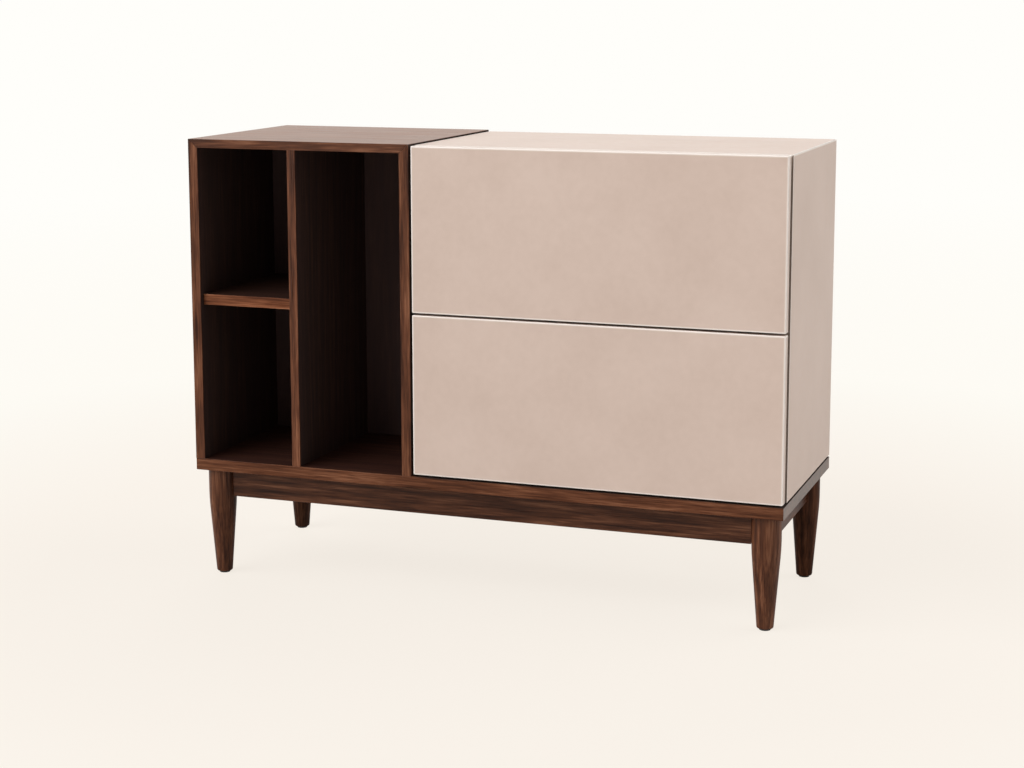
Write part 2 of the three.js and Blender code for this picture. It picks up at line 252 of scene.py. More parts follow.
def blend_colours(tree, factor, first, second, mode="MIX"):
    node = add_node(tree, "ShaderNodeMix", data_type="RGBA", blend_type=mode)
    colour_inputs = [socket for socket in node.inputs if socket.type == "RGBA"]
    colour_output = [socket for socket in node.outputs if socket.type == "RGBA"][0]
    feed(tree, node.inputs[0], factor)
    for socket, value in zip(colour_inputs, (first, second)):
        feed(tree, socket, value if isinstance(value, bpy.types.NodeSocket) else (*value, 1.0))
    return colour_output


def bump(tree, height, strength, depth):
    settings = {"Height": height, "Strength": strength, "Distance": depth}
    return add_node(tree, "ShaderNodeBump", settings).outputs["Normal"]


def wall_distances(tree, place, low, high):
    """How far inside a box's walls a place lies, along each of the three axes."""
    above = vector_math(tree, "SUBTRACT", place, low)
    below = vector_math(tree, "SUBTRACT", high, place)
    nearest = vector_math(tree, "MINIMUM", above, below)
    return add_node(tree, "ShaderNodeSeparateXYZ", {0: nearest}).outputs


def inside_box(tree, place, low, high):
    """1 where a place lies in a box, else 0."""
    x, y, z = wall_distances(tree, place, low, high)
    least = calculate(tree, "MINIMUM", calculate(tree, "MINIMUM", x, y), z)
    return remap(tree, least, -PAINTED_BOX_FADE, PAINTED_BOX_FADE, 0.0, 1.0)


def edge_nearness(tree, place, low, high, reach):
    """1 on the edges of a box, down to 0 at a reach from them. On a face of the box one of the
    distances is 0, so the middle one is the distance from the nearest edge."""
    x, y, z = wall_distances(tree, place, low, high)
    smaller = calculate(tree, "MINIMUM", x, y)
    larger = calculate(tree, "MAXIMUM", x, y)
    middle = calculate(tree, "MAXIMUM", smaller, calculate(tree, "MINIMUM", larger, z))
    return remap(tree, middle, 0.0, reach, 1.0, 0.0)


def start_finish(name):
    """A new material with its node tree, its shader and the place that its patterns follow."""
    material = bpy.data.materials.new(name)
    material.use_nodes = True
    tree = material.node_tree
    shader = tree.nodes["Principled BSDF"]
    place = add_node(tree, "ShaderNodeTexCoord").outputs["Object"]
    return material, tree, shader, place


def set_surface(tree, shader, colour, roughness, normal):
    feed(tree, shader.inputs["Base Color"], colour)
    feed(tree, shader.inputs["Roughness"], roughness)
    feed(tree, shader.inputs["Normal"], normal)


# Boxes of the painted shade and the painted reflection


def grown(low, high, x=0.0, y=0.0, z=0.0):
    """A box that is larger by a margin at both ends of each axis."""
    margin = Vector((x, y, z))
    return low - margin, high + margin


def bay_box(front):
    """The room of the open bays behind a depth, with a hair's margin to take in its walls."""
    low = Vector((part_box("unit_left_side")[1].x, front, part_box("base_board")[1].z))
    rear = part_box("unit_back")[0].y + PAINTED_BOX_MARGIN
    high = Vector((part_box("unit_right_side")[0].x, rear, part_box("unit_top")[0].z))
    return grown(low, high, x=PAINTED_BOX_MARGIN, z=PAINTED_BOX_MARGIN)


def gap_box(front):
    """A thin box round the open unit's outer right face, behind a depth and below the top face."""
    low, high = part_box("unit_right_side")
    face_low = Vector((high.x, front, low.z))
    face_high = Vector((high.x, high.y, high.z - PAINTED_BOX_MARGIN))
    return grown(face_low, face_high, x=PAINTED_BOX_MARGIN)


def end_box():
    """A thin box round the right end face of the base board."""
    low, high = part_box("base_board")
    face_low = Vector((high.x, low.y, low.z))
    return grown(face_low, high, x=PAINTED_BOX_MARGIN, y=PAINTED_BOX_MARGIN, z=PAINTED_BOX_MARGIN)


def foot_box():
    """A thin box round the base board's upper face under the file case."""
    board_low, board_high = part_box("base_board")
    low = Vector((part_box("case_left_side")[0].x, board_low.y, board_high.z))
    high = Vector((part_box("case_right_side")[1].x, board_high.y, board_high.z))
    return grown(low, high, x=-PAINTED_BOX_MARGIN, y=-PAINTED_SHADE_SETBACK, z=PAINTED_BOX_MARGIN)


def front_box(node_name):
    """A thin box round the front edge of a panel."""
    low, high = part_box(node_name)
    face_high = Vector((high.x, low.y, high.z))
    return grown(low, face_high, x=PAINTED_BOX_MARGIN, y=PAINTED_BOX_MARGIN, z=PAINTED_BOX_MARGIN)


# Finishes


def walnut_figure(tree, place, axis):
    """The grain of walnut along one axis: its whole figure, its streaks and its open pores."""
    growth = stretched_noise(tree, place, axis, across=7.0, along=0.55, detail=1.5, distortion=0.15)
    rings = calculate(tree, "SINE", calculate(tree, "MULTIPLY", growth, GROWTH_RINGS), 0.0)
    bands = remap(tree, rings, -1.0, 1.0, 0.25, 0.75)
    broad = stretched_noise(tree, place, axis, across=14.0, along=1.1, detail=2.0)
    streaks = stretched_noise(tree, place, axis, across=180.0, along=8.0, detail=3.0, distortion=0.2)
    fibres = stretched_noise(tree, place, axis, across=430.0, along=20.0, detail=3.0)
    pores = stretched_noise(tree, place, axis, across=1000.0, along=26.0, detail=2.0)
    figure = weighted_sum(tree, [(bands, 0.18), (broad, 0.12), (streaks, 0.36), (fibres, 0.34)])
    return figure, streaks, pores


def paint_top_sheen(tree, colour):
    """The colour, made lighter on the face that looks up, as a painted sheen."""
    facing = add_node(tree, "ShaderNodeNewGeometry").outputs["True Normal"]
    upward = add_node(tree, "ShaderNodeSeparateXYZ", {0: facing}).outputs[ALONG_Z]
    share = remap(tree, upward, SHEEN_START, SHEEN_END, 0.0, TOP_SHEEN_SHARE)
    return blend_colours(tree, share, colour, TOP_SHEEN_WALNUT)


def walnut(
    name, axis, tone, roughness=0.32, specular=0.18, painted_patches=(), painted_top_sheen=False, start=(0, 0, 0)
):
    """Oiled walnut whose grain runs along one axis, from a start in its log. The tone makes its colours
    darker or lighter. Each painted patch is a box, the matt colour painted in it as shade or as reflection,
    and that colour's share."""
    material, tree, shader, place = start_finish(name)
    figure, streaks, pores = walnut_figure(tree, vector_math(tree, "ADD", place, start), axis)
    stops = [(position, tuple(tone * part for part in colour)) for position, colour in WALNUT_STOPS]
    grain = ramp(tree, figure, stops)
    colour = blend_colours(tree, 1.0, grain, ramp(tree, pores, PORE_STOPS), "MULTIPLY")
    # Painted sheen: a lighter colour on the face that looks up
    if painted_top_sheen:
        colour = paint_top_sheen(tree, colour)
    rough = vary(tree, streaks, roughness, swing=0.06)
    # Painted shade and painted reflection, each in its box and matt
    for (low, high), painted_colour, share in painted_patches:
        painted_mask = inside_box(tree, place, low, high)
        colour = blend_colours(tree, calculate(tree, "MULTIPLY", painted_mask, share), colour, painted_colour)
        matt = calculate(tree, "MULTIPLY", painted_mask, PAINTED_PATCH_ROUGHNESS)
        rough = calculate(tree, "MAXIMUM", rough, matt)
    set_surface(tree, shader, colour, rough, bump(tree, pores, strength=0.10, depth=0.3 * MM))
    shader.inputs["Specular IOR Level"].default_value = specular
    return material


def lacquer(node_name, painted_front_shade=False, specular=0.32):
    """Sprayed satin lacquer on one panel: faint clouding in the colour, a fine orange peel, and a painted
    highlight that makes its edges lighter. A painted front shade is a darker colour on the edge behind a
    gap."""
    material, tree, shader, place = start_finish(f"beige_{node_name}")
    clouds = even_noise(tree, place, per_metre=7.0, detail=4.0)
    flecks = even_noise(tree, place, per_metre=70.0, detail=3.0)
    peel = even_noise(tree, place, per_metre=900.0, detail=1.0)
    coat = ramp(tree, weighted_sum(tree, [(clouds, 0.7), (flecks, 0.3)]), LACQUER_STOPS)
    # Painted highlight: the colour is lighter along the panel's edges
    edge_highlight = edge_nearness(tree, place, *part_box(node_name), EDGE_HIGHLIGHT_REACH)
    colour = blend_colours(tree, edge_highlight, coat, LACQUER_EDGE_HIGHLIGHT)
    # Painted shade on the front edge behind the gap round the fronts
    if painted_front_shade:
        painted_mask = inside_box(tree, place, *front_box(node_name))
        colour = blend_colours(tree, painted_mask, colour, CASE_EDGE_PAINTED_SHADE)
    rough = vary(tree, flecks, 0.32, swing=0.04)
    set_surface(tree, shader, colour, rough, bump(tree, peel, strength=0.05, depth=0.1 * MM))
    shader.inputs["Specular IOR Level"].default_value = specular
    return material


def birch(name, thickness_axis, grain_axis, layers):
    """Sealed birch plywood: grain on its faces, glued layers on its edges."""
    material, tree, shader, place = start_finish(name)
    share = add_node(tree, "ShaderNodeTexCoord").outputs["Generated"]
    depth = add_node(tree, "ShaderNodeSeparateXYZ", {0: share}).outputs[thickness_axis]
    layer = calculate(tree, "MULTIPLY", depth, layers - LAYER_TRIM)
    cross_layer = calculate(tree, "MODULO", calculate(tree, "FLOOR", layer, 0.0), 2.0)
    streaks = stretched_noise(tree, place, grain_axis, across=120.0, along=4.0, detail=4.0)
    flecks = stretched_noise(tree, place, grain_axis, across=700.0, along=60.0, detail=2.0)
    face = ramp(tree, weighted_sum(tree, [(streaks, 0.75), (flecks, 0.25)]), BIRCH_STOPS)
    colour = blend_colours(tree, calculate(tree, "MULTIPLY", cross_layer, PLY_SHADE), face, PLY_LINE)
    rough = vary(tree, streaks, 0.49, swing=0.07)
    set_surface(tree, shader, colour, rough, bump(tree, flecks, strength=0.12, depth=0.2 * MM))
    shader.inputs["Specular IOR Level"].default_value = 0.35
    return material


def zinc(name, axis):
    """Zinc plated steel with the drawing lines of rolled sheet."""
    material, tree, shader, place = start_finish(name)
    spangle = even_noise(tree, place, per_metre=90.0, detail=4.0)
    lines = stretched_noise(tree, place, axis, across=1500.0, along=8.0, detail=2.0)
    tint = weighted_sum(tree, [(spangle, 0.6), (lines, 0.4)])
    rough = vary(tree, tint, 0.34, swing=0.08)
    relief = bump(tree, lines, strength=0.06, depth=0.1 * MM)
    set_surface(tree, shader, ramp(tree, tint, ZINC_STOPS), rough, relief)
    shader.inputs["Metallic"].default_value = 1.0
    return material


def moulded(name, stops, roughness):
    """Moulded plastic with a fine spark-eroded texture."""
    material, tree, shader, place = start_finish(name)
    clouds = even_noise(tree, place, per_metre=60.0, detail=3.0)
    texture = even_noise(tree, place, per_metre=2200.0, detail=2.0)
    rough = vary(tree, texture, roughness, swing=0.06)
    relief = bump(tree, texture, strength=0.15, depth=0.1 * MM)
    set_surface(tree, shader, ramp(tree, clouds, stops), rough, relief)
    return material


# Boxes of painted shade in the open bays: their walls, floor, back and shelf
unit_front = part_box("unit_divider")[0].y + PAINTED_SHADE_SETBACK
shelf_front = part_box("cubby_shelf")[0].y + PAINTED_SHADE_SETBACK
bay_shade_patch = (bay_box(unit_front), BAY_PAINTED_SHADE, PAINTED_SHADE_SHARE)
floor_shade_patch = (bay_box(unit_front), FLOOR_PAINTED_SHADE, PAINTED_SHADE_SHARE)
back_shade_patch = (bay_box(unit_front), BACK_PAINTED_SHADE, PAINTED_SHADE_SHARE)
shelf_shade_patch = (bay_box(shelf_front), SHELF_PAINTED_SHADE, SHELF_PAINTED_SHADE_SHARE)
# Painted shade in the gap beside the open unit and under the file case
gap_shade_patch = (gap_box(unit_front), GAP_PAINTED_SHADE, PAINTED_SHADE_SHARE)
foot_shade_patch = (foot_box(), GAP_PAINTED_SHADE, PAINTED_SHADE_SHARE)
# Painted reflection: a grey on the base board's right end
end_reflection_patch = (end_box(), END_PAINTED_REFLECTION, END_REFLECTION_SHARE)

board_walnut = walnut(
    "walnut_board",
    ALONG_X,
    tone=1.09,
    specular=0.12,
    painted_patches=[floor_shade_patch, foot_shade_patch, end_reflection_patch],
    start=BOARD_START,
)
top_walnut = walnut(
    "walnut_top",
    ALONG_X,
    tone=1.0,
    roughness=0.33,
    specular=0.16,
    painted_patches=[bay_shade_patch, gap_shade_patch],
    painted_top_sheen=True,
)
upright_walnut = walnut("walnut_upright", ALONG_Z, tone=1.13, specular=0.15, painted_patches=[bay_shade_patch, gap_shade_patch])
divider_walnut = walnut("walnut_divider", ALONG_Z, tone=1.32, painted_patches=[bay_shade_patch])
back_walnut = walnut("walnut_back", ALONG_Z, tone=1.0, specular=0.08, painted_patches=[back_shade_patch])
# Painted light: the shelf's walnut is made lighter, to offset the shade on its set-back front edge
shelf_lightened_walnut = walnut("walnut_shelf_painted_light", ALONG_X, tone=1.75, specular=0.08, painted_patches=[shelf_shade_patch])
apron_across = walnut("walnut_apron_grain_x", ALONG_X, tone=0.75)
apron_inwards = walnut("walnut_apron_grain_y", ALONG_Y, tone=0.75)
front_leg_walnut = walnut("walnut_front_legs", ALONG_Z, tone=0.98)
# Painted shade: the rear legs are darker copies of the legs' walnut, the left one darkest, for the shade
# under the board
rear_left_shaded_walnut = walnut("walnut_rear_left_leg_painted_shade", ALONG_Z, tone=0.30, specular=0.08)
rear_right_shaded_walnut = walnut("walnut_rear_right_leg_painted_shade", ALONG_Z, tone=0.76, specular=0.08)
birch_side = birch("birch_side", ALONG_X, ALONG_Y, WALL_LAYERS)
birch_end = birch("birch_end", ALONG_Y, ALONG_X, WALL_LAYERS)
birch_floor = birch("birch_floor", ALONG_Z, ALONG_X, FLOOR_LAYERS)
zinc_along_x = zinc("zinc_along_x", ALONG_X)
zinc_along_y = zinc("zinc_along_y", ALONG_Y)
dark_nylon = moulded("dark_nylon", NYLON_STOPS, roughness=0.55)
pale_plastic = moulded("pale_plastic", PLASTIC_STOPS, roughness=0.45)


# Edges and shading


def soft_shading_group():
    """Shades faces smoothly and keeps a crease where two of them meet sharply."""
    group = bpy.data.node_groups.new("soft_shading", "GeometryNodeTree")
    for direction in ("INPUT", "OUTPUT"):
        group.interface.new_socket("Geometry", in_out=direction, socket_type="NodeSocketGeometry")
    start = add_node(group, "NodeGroupInput").outputs[0]
    plain = add_node(group, "GeometryNodeRemoveAttribute", {0: start, "Name": "custom_normal"}).outputs[0]
    faces = add_node(group, "GeometryNodeSetShadeSmooth", {0: plain}).outputs[0]
    angle = add_node(group, "GeometryNodeInputMeshEdgeAngle").outputs[0]
    limits = {"A": angle, "B": SHARP_ANGLE}
    gentle = add_node(group, "FunctionNodeCompare", limits, operation="LESS_THAN").outputs[0]
    creases = {0: faces, "Shade Smooth": gentle}
    edges = add_node(group, "GeometryNodeSetShadeSmooth", creases, domain="EDGE").outputs[0]
    add_node(group, "NodeGroupOutput", {0: edges})
    return group


soft_shading = soft_shading_group()


def shade_softly(piece):
    """Smooth shading that keeps large faces flat up to their eased edges."""
    piece.modifiers.new("soft_shading", "NODES").node_group = soft_shading
    flat_faces = piece.modifiers.new("flat_shading", "WEIGHTED_NORMAL")
    flat_faces.mode = "FACE_AREA"
    flat_faces.weight = FACE_WEIGHT
    flat_faces.keep_sharp = True


def ease_edges(piece, radius, segments=2):
    """Round the sharp edges of a piece a little, as sanding or spraying leaves them."""
    weld = piece.modifiers.new("weld", "WELD")
    weld.merge_threshold = WELD_DISTANCE
    flat = piece.modifiers.new("flat_faces", "DECIMATE")
    flat.decimate_type = "DISSOLVE"
    flat.angle_limit = FLAT_ANGLE
    rounding = piece.modifiers.new("eased_edges", "BEVEL")
    rounding.width = radius
    rounding.segments = segments
    rounding.limit_method = "ANGLE"
    rounding.angle_limit = SHARP_ANGLE
    rounding.harden_normals = False
    shade_softly(piece)


# The frame's own pieces


def dress(node_name, material, radius, segments=2):
    """Give one of the frame's pieces its finish and its eased edges."""
    piece = nodes[node_name]
    if not piece.material_slots:
        piece.data.materials.append(material)
    piece.material_slots[0].material = material
    ease_edges(piece, radius, segments)


def dress_base():
    dress("base_board", board_walnut, WALNUT_EDGE)
    for row in ("front", "rear"):
        dress(f"{row}_apron", apron_across, WALNUT_EDGE)
        for column in ("left", "right"):
            dress(f"{row}_{column}_glide", dark_nylon, PLASTIC_EDGE)
    # The rear legs take their darker copies of walnut, which are painted shade
    for column, shaded_rear_walnut in (("left", rear_left_shaded_walnut), ("right", rear_right_shaded_walnut)):
        dress(f"{column}_apron", apron_inwards, WALNUT_EDGE)
        dress(f"front_{column}_leg", front_leg_walnut, WALNUT_EDGE)
        dress(f"rear_{column}_leg", shaded_rear_walnut, WALNUT_EDGE)


def dress_open_unit():
    dress("unit_top", top_walnut, MITRE_EDGE)
    for name in ("unit_left_side", "unit_right_side"):
        dress(name, upright_walnut, MITRE_EDGE)
    dress("unit_divider", divider_walnut, WALNUT_EDGE)
    dress("unit_back", back_walnut, MITRE_EDGE)
    dress("cubby_shelf", shelf_lightened_walnut, WALNUT_EDGE)
    for row in ("front", "rear"):
        for column in ("left", "right"):
            dress(f"shelf_pin_{row}_{column}", zinc_along_x, STEEL_EDGE)


def dress_case():
    dress("case_top", lacquer("case_top", specular=0.10), MITRE_EDGE)
    dress("case_back", lacquer("case_back"), MITRE_EDGE)
    # The side panels and the bottom get painted shade on their front edges, behind the gaps round the
    # fronts
    for panel in ("case_left_side", "case_right_side", "case_bottom"):
        dress(panel, lacquer(panel, painted_front_shade=True, specular=0.10), MITRE_EDGE)


def dress_drawer(prefix):
    front = f"{prefix}_drawer_front"
    dress(front, lacquer(front), LACQUER_EDGE, segments=3)
    for wall in ("subfront", "back"):
        dress(f"{prefix}_drawer_{wall}", birch_end, BIRCH_EDGE)
    for wall in ("left_side", "right_side"):
        dress(f"{prefix}_drawer_{wall}", birch_side, BIRCH_EDGE)
    dress(f"{prefix}_drawer_bottom", birch_floor, BIRCH_EDGE)
    for row in ("front", "rear"):
        dress(f"{prefix}_file_rail_{row}", zinc_along_x, STEEL_EDGE)
    for column in ("left", "right"):
        for member in ("outer", "middle", "inner"):
            dress(f"{prefix}_{column}_slide_{member}", zinc_along_y, STEEL_EDGE)
    for part in ("body", "plunger"):
        dress(f"{prefix}_latch_{part}", pale_plastic, PLASTIC_EDGE)


dress_base()
dress_open_unit()
dress_case()
for drawer_name in ("lower", "upper"):
    dress_drawer(drawer_name)


# Shapes of the new pieces


def new_piece(name, body, material, build, edge=None):
    """A piece whose mesh a build function makes, riding on a body, with its edges eased or sharp."""
    shape = bmesh.new()
    build(shape)
    bmesh.ops.recalc_face_normals(shape, faces=shape.faces)
    mesh = bpy.data.meshes.new(name)
    shape.to_mesh(mesh)
    shape.free()
    mesh.materials.append(material)
    piece = bpy.data.objects.new(name, mesh)
    bpy.context.scene.collection.objects.link(piece)
    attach(piece, body)
    if edge:
        ease_edges(piece, edge)
    else:
        shade_softly(piece)


def loft(shape, rings):
    """Skin rings of points into a closed form with a cap at each end."""
    loops = [[shape.verts.new(point) for point in ring] for ring in rings]
    count = len(rings[0])
    for low, high in zip(loops, loops[1:]):
        for i in range(count):
            j = (i + 1) % count
            shape.faces.new((low[i], low[j], high[j], high[i]))
    shape.faces.new(list(reversed(loops[0])))
    shape.faces.new(loops[-1])


def prism(shape, outline, start, end, axis):
    """An outline in the two other axes, carried along one axis."""

    def point(pair, along):
        parts = list(pair)
        parts.insert(axis, along)
        return Vector(parts)

    loft(shape, [[point(pair, along) for pair in outline] for along in (start, end)])


def rounded_outline(low, high, radius):
    """A rectangle with round corners, as points in a plane."""
    corners = [(high[0], high[1], 0), (low[0], high[1], 1), (low[0], low[1], 2), (high[0], low[1], 3)]
    outline = []
    for x, y, quarter in corners:
        centre_x = x - radius if quarter in (0, 3) else x + radius
        centre_y = y - radius if quarter in (0, 1) else y + radius
        for i in range(CORNER_STEPS + 1):
            angle = (quarter + i / CORNER_STEPS) * math.pi / 2
            outline.append((centre_x + radius * math.cos(angle), centre_y + radius * math.sin(angle)))
    return outline


def circle_ring(radius, height):
    angles = [2 * math.pi * i / SCREW_SIDES for i in range(SCREW_SIDES)]
    return [Vector((radius * math.cos(a), radius * math.sin(a), height)) for a in angles]


def hexagon_ring(across_flats, height):
    """A hexagon with as many points as the round rings."""
    sector = math.pi / 3
    ring = []
    for i in range(SCREW_SIDES):
        angle = 2 * math.pi * i / SCREW_SIDES
        from_flat = angle % sector - sector / 2
        radius = across_flats / 2 / math.cos(from_flat)
        ring.append(Vector((radius * math.cos(angle), radius * math.sin(angle), height)))
    return ring


def standing_on(place, out):
    """The turn and place that stand a local +Z form on a surface that faces out."""
    turn = Vector(out).to_track_quat("Z", "Y").to_matrix().to_4x4()
    return Matrix.Translation(place) @ turn


def loft_on(shape, rings, place, out):
    """Skin rings into a form that stands on a surface that faces out."""
    matrix = standing_on(place, out)
    loft(shape, [[matrix @ point for point in ring] for ring in rings])


def screw_head(shape, place, out, radius):
    """A domed head with a hexagon socket."""
    top = HEAD_HEIGHT_SHARE * radius
    socket = SOCKET_WIDTH_SHARE * radius
    rings = [circle_ring(radius, -SCREW_SINK)]
    for radius_share, height_share in DOME_PROFILE:
        rings.append(circle_ring(radius_share * radius, height_share * top))
    rings.append(hexagon_ring(socket, top))
    rings.append(hexagon_ring(socket, SOCKET_FLOOR_SHARE * top))
    loft_on(shape, rings, place, out)


def hanger_bolt(shape, place, out):
    """A bolt that comes through a block: washer, hexagon nut and thread end, with its shank behind."""
    rings = [
        circle_ring(BOLT_RADIUS, -BOLT_REACH),
        circle_ring(BOLT_RADIUS, -SCREW_SINK),
        circle_ring(WASHER_RADIUS, -SCREW_SINK),
        circle_ring(WASHER_RADIUS, WASHER_TOP),
        hexagon_ring(NUT_WIDTH, WASHER_TOP),
        hexagon_ring(NUT_WIDTH, NUT_TOP),
        circle_ring(BOLT_RADIUS, NUT_TOP),
        circle_ring(BOLT_RADIUS, BOLT_SHOULDER),
        circle_ring(BOLT_END_RADIUS, BOLT_END),
    ]
    loft_on(shape, rings, place, out)


# Fixings and hardware


def spread(low, high, inset, pitch):
    """Even places between two ends, about one pitch apart."""
    start = low + inset
    length = high - low - 2 * inset
    count = max(2, round(length / pitch) + 1)
    return [start + length * i / (count - 1) for i in range(count)]


def screw_set(name, body, places, out, radius):
    """One piece that holds a set of like screws."""

    def build(shape):
        for place in places:
            screw_head(shape, place, out, radius)

    new_piece(name, body, zinc_along_y, build)


def back_screws():
    """Screws along both sides of the case's back."""
    low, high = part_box("case_back")
    columns = [low.x + BACK_SCREW_INSET, high.x - BACK_SCREW_INSET]
    heights = spread(low.z, high.z, BACK_SCREW_END, BACK_SCREW_PITCH)
    places = [Vector((x, high.y, z)) for x in columns for z in heights]
    screw_set("case_back_screws", "cabinet", places, REARWARD, SMALL_SCREW_RADIUS)


def board_screws():
    """Screws up through the base board into the two units that stand on it."""
    low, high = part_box("base_board")
    rows = [low.y + BOARD_SCREW_FRONT, high.y - BOARD_SCREW_FRONT]
    columns = spread(low.x, high.x, BOARD_SCREW_END, BOARD_SCREW_PITCH)
    places = [Vector((x, y, low.z)) for x in columns for y in rows]
    screw_set("board_screws", "cabinet", places, DOWNWARD, SCREW_RADIUS)


def corner_block(row, column):
    """A block across the corner of two aprons, which pulls a leg in with a hanger bolt."""
    apron_low, apron_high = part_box(f"{row}_apron")
    side_low, side_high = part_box(f"{column}_apron")
    step_x = 1 if column == "left" else -1
    step_y = 1 if row == "front" else -1
    corner_x = side_high.x if column == "left" else side_low.x
    corner_y = apron_high.y if row == "front" else apron_low.y

    def inwards(x, y):
        return corner_x + step_x * x, corner_y + step_y * y

    outline = [inwards(BLOCK_NEAR, 0), inwards(BLOCK_FAR, 0), inwards(0, BLOCK_FAR), inwards(0, BLOCK_NEAR)]
    base = apron_low.z + BLOCK_RISE
    new_piece(
        f"{row}_{column}_corner_block",
        "cabinet",
        birch_floor,
        lambda shape: prism(shape, outline, base, apron_high.z, ALONG_Z),
        BIRCH_EDGE,
    )
    place = Vector((*inwards(BLOCK_FAR / 2, BLOCK_FAR / 2), (base + apron_high.z) / 2))
    out = Vector((step_x, step_y, 0)).normalized()
    new_piece(
        f"{row}_{column}_hanger_bolt",
        "cabinet",
        zinc_along_x,
        lambda shape: hanger_bolt(shape, place, out),
    )


def slide_fixings(prefix, column):
    """The screws and the release lever on the slide member that the drawer carries."""
    low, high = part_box(f"{prefix}_{column}_slide_inner")
    out = LEFT if column == "left" else RIGHT
    web = high.x - SLIDE_SHEET if column == "left" else low.x + SLIDE_SHEET
    middle = (low.z + high.z) / 2
    rows = spread(low.y, high.y, SLIDE_SCREW_INSET, SLIDE_SCREW_PITCH)
    places = [Vector((web, y, middle)) for y in rows]
    screw_set(f"{prefix}_{column}_slide_screws", f"{prefix}_drawer", places, out, SMALL_SCREW_RADIUS)
    lever_end = rows[-1] - LEVER_SETBACK
    lever_low = (lever_end - LEVER_LENGTH, middle - LEVER_HEIGHT / 2)
    lever_high = (lever_end, middle + LEVER_HEIGHT / 2)
    outline = rounded_outline(lever_low, lever_high, LEVER_CORNER)
    new_piece(
        f"{prefix}_{column}_release_lever",
        f"{prefix}_drawer",
        dark_nylon,
        lambda shape: prism(shape, outline, web, web + out.x * LEVER_THICKNESS, ALONG_X),
        PLASTIC_EDGE,
    )


def box_screws(prefix):
    """Screws through the drawer's sides into the ends of its inner front and its back."""
    ends = [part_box(f"{prefix}_drawer_{wall}") for wall in ("subfront", "back")]
    rows = [(low.y + high.y) / 2 for low, high in ends]
    heights = [ends[0][0].z + rise for rise in BOX_SCREW_RISES]
    for column, out in (("left", LEFT), ("right", RIGHT)):
        low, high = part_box(f"{prefix}_drawer_{column}_side")
        face = low.x if column == "left" else high.x
        places = [Vector((face, y, z)) for y in rows for z in heights]
        screw_set(f"{prefix}_{column}_box_screws", f"{prefix}_drawer", places, out, SMALL_SCREW_RADIUS)


def face_screws(prefix):
    """Screws through the drawer's inner front into the lacquered one."""
    low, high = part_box(f"{prefix}_drawer_subfront")
    columns = spread(low.x, high.x, FACE_SCREW_INSET, FACE_SCREW_PITCH)
    levels = [low.z + FACE_SCREW_RISE, high.z - FACE_SCREW_RISE]
    places = [Vector((x, high.y, z)) for x in columns for z in levels]
    screw_set(f"{prefix}_face_screws", f"{prefix}_drawer", places, REARWARD, SCREW_RADIUS)


def rail_clips(prefix, row):
    """A moulded clip at each end of a folder rail, fixed to the drawer's side."""
    low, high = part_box(f"{prefix}_file_rail_{row}")
    outer_low, outer_high = low.y - CLIP_WALL, high.y + CLIP_WALL
    inner_low, inner_high = low.y - CLIP_CLEARANCE, high.y + CLIP_CLEARANCE
    base = low.z - CLIP_WALL
    top = high.z - CLIP_DROP
    floor = low.z - CLIP_CLEARANCE
    outline = [
        (outer_low, base),
        (outer_high, base),
        (outer_high, top),
        (inner_high, top),
        (inner_high, floor),
        (inner_low, floor),
        (inner_low, top),
        (outer_low, top),
    ]

    def build(shape):
        prism(shape, outline, low.x, low.x + CLIP_LENGTH, ALONG_X)
        prism(shape, outline, high.x - CLIP_LENGTH, high.x, ALONG_X)

    new_piece(f"{prefix}_{row}_rail_clips", f"{prefix}_drawer", dark_nylon, build, PLASTIC_EDGE)


def latch_ears(prefix):
    """The two screwed ears that hold a push latch to the case's back."""
    low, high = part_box(f"{prefix}_latch_body")
    ear_front = high.y - EAR_THICKNESS
    ears = [(low.z - EAR_LENGTH, low.z), (high.z, high.z + EAR_LENGTH)]

    def build(shape):
        for base, top in ears:
            outline = rounded_outline((low.x, base), (high.x, top), EAR_CORNER)
            prism(shape, outline, ear_front, high.y, ALONG_Y)

    new_piece(f"{prefix}_latch_ears", "cabinet", pale_plastic, build, PLASTIC_EDGE)
    middle = (low.x + high.x) / 2
    places = [Vector((middle, ear_front, (base + top) / 2)) for base, top in ears]
    screw_set(f"{prefix}_latch_screws", "cabinet", places, FORWARD, SMALL_SCREW_RADIUS)


back_screws()
board_screws()
for row_name in ("front", "rear"):
    for column_name in ("left", "right"):
        corner_block(row_name, column_name)
for drawer_name in ("lower", "upper"):
    box_screws(drawer_name)
    face_screws(drawer_name)
    latch_ears(drawer_name)
    for row_name in ("front", "rear"):
        rail_clips(drawer_name, row_name)
    for column_name in ("left", "right"):
        slide_fixings(drawer_name, column_name)


# Studio

CAMERA_PLACE = Vector((1.2262, -3.3982, 1.0832))
CAMERA_YAW = 0.34662
CAMERA_PITCH = 0.15335
CAMERA_ROLL = -0.00184
FOCAL_PIXELS = 1969.5
IMAGE_WIDTH = 1024
SENSOR_WIDTH = 36.0
SHIFT_PIXELS = -84

# The floor's colour runs out to a span, and its own glow grows between two distances
FLOOR_RADIUS = 40.0
FLOOR_SIDES = 128
FLOOR_SPAN = 8.0
FLOOR_FAR = (1.0, 0.991, 0.956)
FLOOR_STOPS = ((0.13, (1.0, 0.935, 0.855)), (0.26, (0.991, 0.965, 0.905)), (0.9, FLOOR_FAR))
FLOOR_ALBEDO = (0.60, 0.585, 0.56)
FLOOR_GLOW = 0.84
GLOW_START, GLOW_END = 0.9, 2.2

AMBIENT = 0.16
LIGHT_AIM = Vector((0, 0, 0.5))
LIGHT_DISTANCE = 24.0


